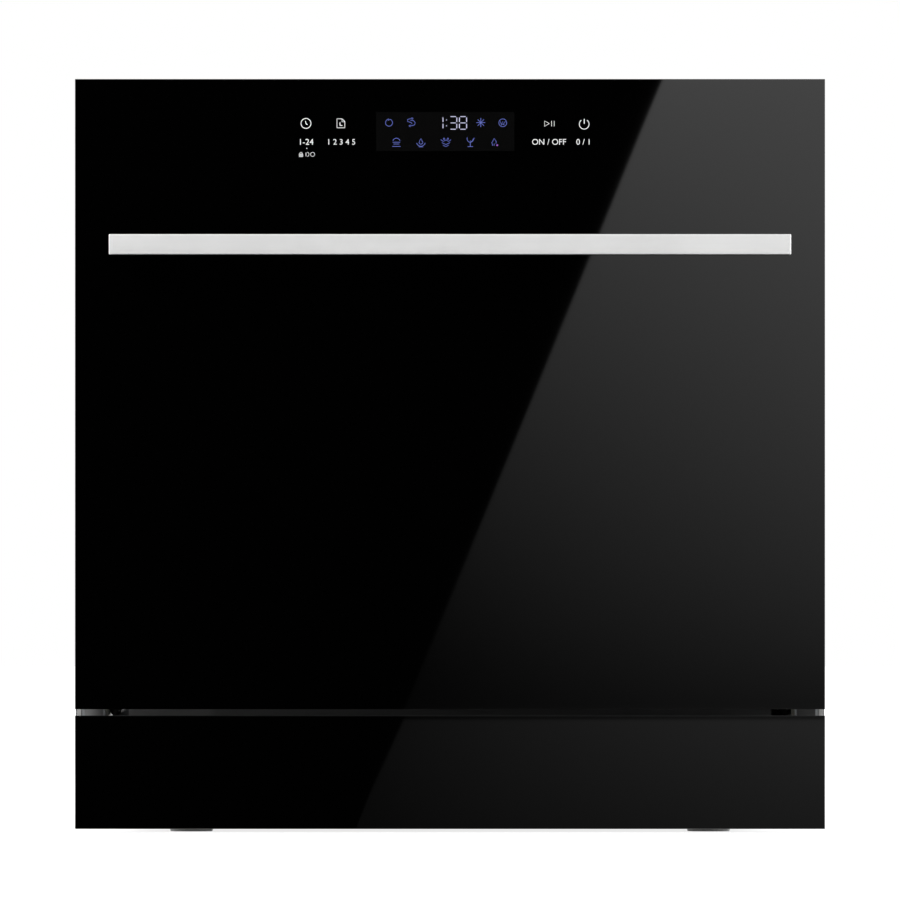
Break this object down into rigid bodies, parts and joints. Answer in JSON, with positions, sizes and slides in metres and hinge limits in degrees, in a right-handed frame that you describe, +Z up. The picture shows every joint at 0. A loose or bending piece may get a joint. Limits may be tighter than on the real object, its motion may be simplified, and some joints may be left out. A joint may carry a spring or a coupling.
{
  "type": "dishwasher",
  "caption": "Compact built-in dishwasher with a drop-down black glass door, bar handle, fixed kick plate, steel tub, wire racks with folding tines, cutlery basket and spray arms.",
  "frame": {"origin": "middle of the overall footprint, on the floor that the levelling feet stand on", "axes": "+X to the right of someone facing the door, +Y from the door to the rear panel, +Z up"},
  "size_m": [0.595, 0.537, 0.598],
  "materials": {
    "black_glass": "polished black glass, printed on the back",
    "brushed_aluminium": "brushed and anodised",
    "handle_steel": "satin stand-off",
    "tub_steel": "stainless, fine brushed",
    "galvanised_steel": "zinc-coated sheet",
    "painted_steel": "black powder coat",
    "hinge_steel": "zinc-plated plate",
    "spring_steel": "oiled spring wire",
    "coated_wire": "nylon-coated steel wire",
    "rack_plastic": "moulded grey plastic",
    "wheel_plastic": "moulded light grey plastic",
    "arm_plastic": "moulded grey plastic",
    "base_plastic": "moulded dark plastic",
    "foot_plastic": "moulded black plastic",
    "white_plastic": "moulded white plastic",
    "dispenser_plastic": "moulded grey plastic",
    "cap_plastic": "moulded dark grey plastic",
    "seal_rubber": "extruded rubber",
    "hose_rubber": "ribbed hose",
    "pump_body": "moulded black plastic",
    "circuit_board": "printed circuit board",
    "screw_steel": "zinc-plated",
    "filter_steel": "perforated stainless"
  },
  "bodies": {
    "cabinet": {"air_break": "white_plastic", "balance_springs": "spring_steel", "base_tray": "base_plastic", "cable_gland": "base_plastic", "casing_screws": "screw_steel", "door_strike": "hinge_steel", "drain_hose": "hose_rubber", "drain_pump": "pump_body", "feed_duct": "arm_plastic", "filter_plate": "filter_steel", "hinge_brackets": "hinge_steel", "inlet_valve": "white_plastic", "kick_bracket": "painted_steel", "kick_glass": "black_glass", "rail_guides": "rack_plastic", "rear_panel": "galvanised_steel", "side_panel_left": "galvanised_steel", "side_panel_right": "galvanised_steel", "spray_arm_post": "arm_plastic", "sump": "base_plastic", "top_panel": "galvanised_steel", "tub": "tub_steel", "tub_seal": "seal_rubber", "wash_pump": "pump_body", "water_softener": "white_plastic"},
    "door": {"door_glass": "black_glass", "door_frame": "painted_steel", "door_liner": "tub_steel", "handle_bar": "brushed_aluminium", "handle_posts": "handle_steel", "control_housing": "base_plastic", "control_board": "circuit_board", "dispenser_body": "dispenser_plastic", "door_lock": "base_plastic", "lower_door_seal": "seal_rubber", "hinge_arms": "hinge_steel"},
    "dispenser_lid": {"dispenser_lid": "cap_plastic"},
    "rinse_cap": {"rinse_cap": "cap_plastic"},
    "lower_rack": {"lower_rack": "coated_wire", "wheel_carriers": "rack_plastic", "cutlery_basket": "rack_plastic"},
    "wheel_front_left": {"wheel_front_left": "wheel_plastic"},
    "wheel_front_right": {"wheel_front_right": "wheel_plastic"},
    "wheel_rear_left": {"wheel_rear_left": "wheel_plastic"},
    "wheel_rear_right": {"wheel_rear_right": "wheel_plastic"},
    "tine_row_left": {"tine_row_left": "coated_wire"},
    "tine_row_right": {"tine_row_right": "coated_wire"},
    "upper_rails": {"upper_rails": "tub_steel"},
    "upper_rack": {"upper_rack": "coated_wire", "upper_glides": "rack_plastic", "upper_feed_tube": "arm_plastic"},
    "upper_spray_arm": {"upper_spray_arm": "arm_plastic"},
    "cup_shelf": {"cup_shelf": "rack_plastic"},
    "lower_spray_arm": {"lower_spray_arm": "arm_plastic"},
    "filter_cup": {"filter_cup": "cap_plastic"},
    "salt_cap": {"salt_cap": "cap_plastic"},
    "foot_front_left": {"foot_front_left": "foot_plastic"},
    "foot_front_right": {"foot_front_right": "foot_plastic"},
    "foot_rear_left": {"foot_rear_left": "foot_plastic"},
    "foot_rear_right": {"foot_rear_right": "foot_plastic"}
  },
  "joints": [
    {"name": "door_open", "type": "hinge", "parent": "cabinet", "child": "door", "pos_m": [0, -0.2095, 0.119], "axis": [1, 0, 0], "range_deg": [0, 90], "deforming": ["balance_springs"]},
    {"name": "lower_rack_slide", "type": "slide", "parent": "cabinet", "child": "lower_rack", "axis": [0, -1, 0], "range_m": [0, 0.4]},
    {"name": "upper_rails_slide", "type": "slide", "parent": "cabinet", "child": "upper_rails", "axis": [0, -1, 0], "range_m": [0, 0.15]},
    {"name": "upper_rack_slide", "type": "slide", "parent": "upper_rails", "child": "upper_rack", "axis": [0, -1, 0], "range_m": [0, 0.15]},
    {"name": "wheel_front_left_spin", "type": "hinge", "parent": "lower_rack", "child": "wheel_front_left", "pos_m": [-0.23423, -0.07683, 0.1588], "axis": [1, 0, 0], "continuous": true},
    {"name": "wheel_rear_left_spin", "type": "hinge", "parent": "lower_rack", "child": "wheel_rear_left", "pos_m": [-0.23423, 0.13383, 0.1588], "axis": [1, 0, 0], "continuous": true},
    {"name": "wheel_front_right_spin", "type": "hinge", "parent": "lower_rack", "child": "wheel_front_right", "pos_m": [0.23423, -0.07683, 0.1588], "axis": [1, 0, 0], "continuous": true},
    {"name": "wheel_rear_right_spin", "type": "hinge", "parent": "lower_rack", "child": "wheel_rear_right", "pos_m": [0.23423, 0.13383, 0.1588], "axis": [1, 0, 0], "continuous": true},
    {"name": "tine_row_left_fold", "type": "hinge", "parent": "lower_rack", "child": "tine_row_left", "pos_m": [-0.097, 0.0285, 0.17208], "axis": [0, 1, 0], "range_deg": [0, 85]},
    {"name": "tine_row_right_fold", "type": "hinge", "parent": "lower_rack", "child": "tine_row_right", "pos_m": [0.03233, 0.0285, 0.17208], "axis": [0, 1, 0], "range_deg": [0, 85]},
    {"name": "lower_spray_arm_spin", "type": "hinge", "parent": "cabinet", "child": "lower_spray_arm", "pos_m": [0, 0.0265, 0.143], "axis": [0, 0, 1], "continuous": true},
    {"name": "upper_spray_arm_spin", "type": "hinge", "parent": "upper_rack", "child": "upper_spray_arm", "pos_m": [0, 0.0265, 0.38781], "axis": [0, 0, 1], "continuous": true},
    {"name": "cup_shelf_fold", "type": "hinge", "parent": "upper_rack", "child": "cup_shelf", "pos_m": [0.20327, 0.0285, 0.456], "axis": [0, 1, 0], "range_deg": [0, 85]},
    {"name": "dispenser_lid_slide", "type": "slide", "parent": "door", "child": "dispenser_lid", "axis": [1, 0, 0], "range_m": [0, 0.05]},
    {"name": "rinse_cap_turn", "type": "hinge", "parent": "door", "child": "rinse_cap", "pos_m": [0.07, -0.1925, 0.32971], "axis": [0, 1, 0], "range_deg": [0, 90]},
    {"name": "filter_cup_turn", "type": "hinge", "parent": "cabinet", "child": "filter_cup", "pos_m": [0.08402, -0.0235, 0.116], "axis": [0, 0, 1], "range_deg": [0, 90]},
    {"name": "salt_cap_turn", "type": "hinge", "parent": "cabinet", "child": "salt_cap", "pos_m": [-0.168, 0.1165, 0.127], "axis": [0, 0, 1], "continuous": true},
    {"name": "foot_front_left_turn", "type": "hinge", "parent": "cabinet", "child": "foot_front_left", "pos_m": [-0.206, -0.1435, 0], "axis": [0, 0, 1], "continuous": true},
    {"name": "foot_front_right_turn", "type": "hinge", "parent": "cabinet", "child": "foot_front_right", "pos_m": [0.206, -0.1435, 0], "axis": [0, 0, 1], "continuous": true},
    {"name": "foot_rear_left_turn", "type": "hinge", "parent": "cabinet", "child": "foot_rear_left", "pos_m": [-0.206, 0.2265, 0], "axis": [0, 0, 1], "continuous": true},
    {"name": "foot_rear_right_turn", "type": "hinge", "parent": "cabinet", "child": "foot_rear_right", "pos_m": [0.206, 0.2265, 0], "axis": [0, 0, 1], "continuous": true}
  ],
  "couplings": [
    {"joint": "lower_rack_slide", "follows": "door_open", "m_per_rad": 0.07003},
    {"joint": "upper_rails_slide", "follows": "door_open", "m_per_rad": 0.09543},
    {"joint": "upper_rack_slide", "follows": "door_open", "m_per_rad": 0.09543}
  ]
}
